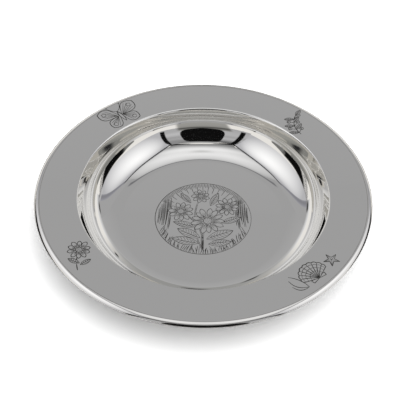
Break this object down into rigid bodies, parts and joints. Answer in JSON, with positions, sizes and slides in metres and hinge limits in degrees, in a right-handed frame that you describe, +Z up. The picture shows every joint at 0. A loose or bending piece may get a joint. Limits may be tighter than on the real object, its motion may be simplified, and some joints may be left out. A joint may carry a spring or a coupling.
{
  "type": "christening bowl",
  "caption": "Shallow round polished silver bowl with a wide flat brim, a hollow curved wall, a flat floor and a rounded wire round its edge.",
  "frame": {"origin": "centre of the flat base that the bowl stands on", "axes": "+Z up along the bowl's axis, -Y towards the viewer of the picture"},
  "size_m": [0.18, 0.18, 0.0245],
  "materials": {
    "dish_silver": "mirror-polished silver with fine wiping marks and line engraving",
    "wire_silver": "polished silver, slightly worn along the crown"
  },
  "bodies": {
    "root": {"dish": "dish_silver", "rim_wire": "wire_silver"}
  },
  "joints": []
}
